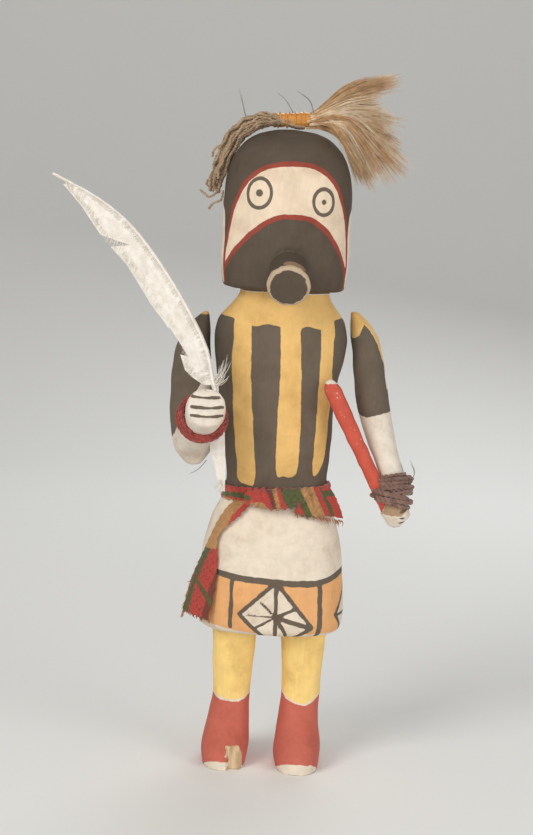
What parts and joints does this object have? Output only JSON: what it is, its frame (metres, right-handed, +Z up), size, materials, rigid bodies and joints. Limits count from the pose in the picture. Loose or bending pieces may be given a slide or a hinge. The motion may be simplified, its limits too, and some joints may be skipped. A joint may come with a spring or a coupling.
{
  "type": "kachina doll",
  "caption": "Carved and painted cottonwood kachina doll with a domed mask, round snout, striped torso, kilt and boots, holding a feather and a club, with a cloth sash and a crest of hair.",
  "frame": {"origin": "middle of the whole part's box, at the level of the boot soles", "axes": "+Z up through the standing figure; the figure looks along -Y, so its right hand and the feather are on the -X side"},
  "size_m": [0.173, 0.078, 0.326],
  "materials": {
    "painted_wood": "matt mineral paint on carved cottonwood root, worn",
    "snout_wood": "matt dark paint, worn to wood at the rim",
    "right_arm_wood": "matt black, yellow and white paint, worn",
    "left_arm_wood": "matt black, yellow and white paint, worn",
    "club_wood": "matt red paint, chipped",
    "feather_vane": "white wing feather",
    "hanging_feather_vane": "white feather strip",
    "red_yarn": "wool yarn, soft",
    "brown_yarn": "wool yarn, soft",
    "woven_sash": "coarse woven cloth, frayed",
    "beige_yarn": "coarse twisted yarn, dusty",
    "animal_hair": "stiff animal hair",
    "hide_binding": "raw hide, orange-yellow, slightly glossy"
  },
  "bodies": {
    "root": {"carved_figure": "painted_wood", "snout": "snout_wood", "right_arm": "right_arm_wood", "left_arm": "left_arm_wood", "feather": "feather_vane", "hanging_feather": "hanging_feather_vane", "club": "club_wood", "right_wrist_yarn": "red_yarn", "left_wrist_yarn": "brown_yarn", "sash": "woven_sash", "yarn_tuft": "beige_yarn", "fur_tuft": "animal_hair", "tuft_binding": "hide_binding"}
  },
  "joints": []
}
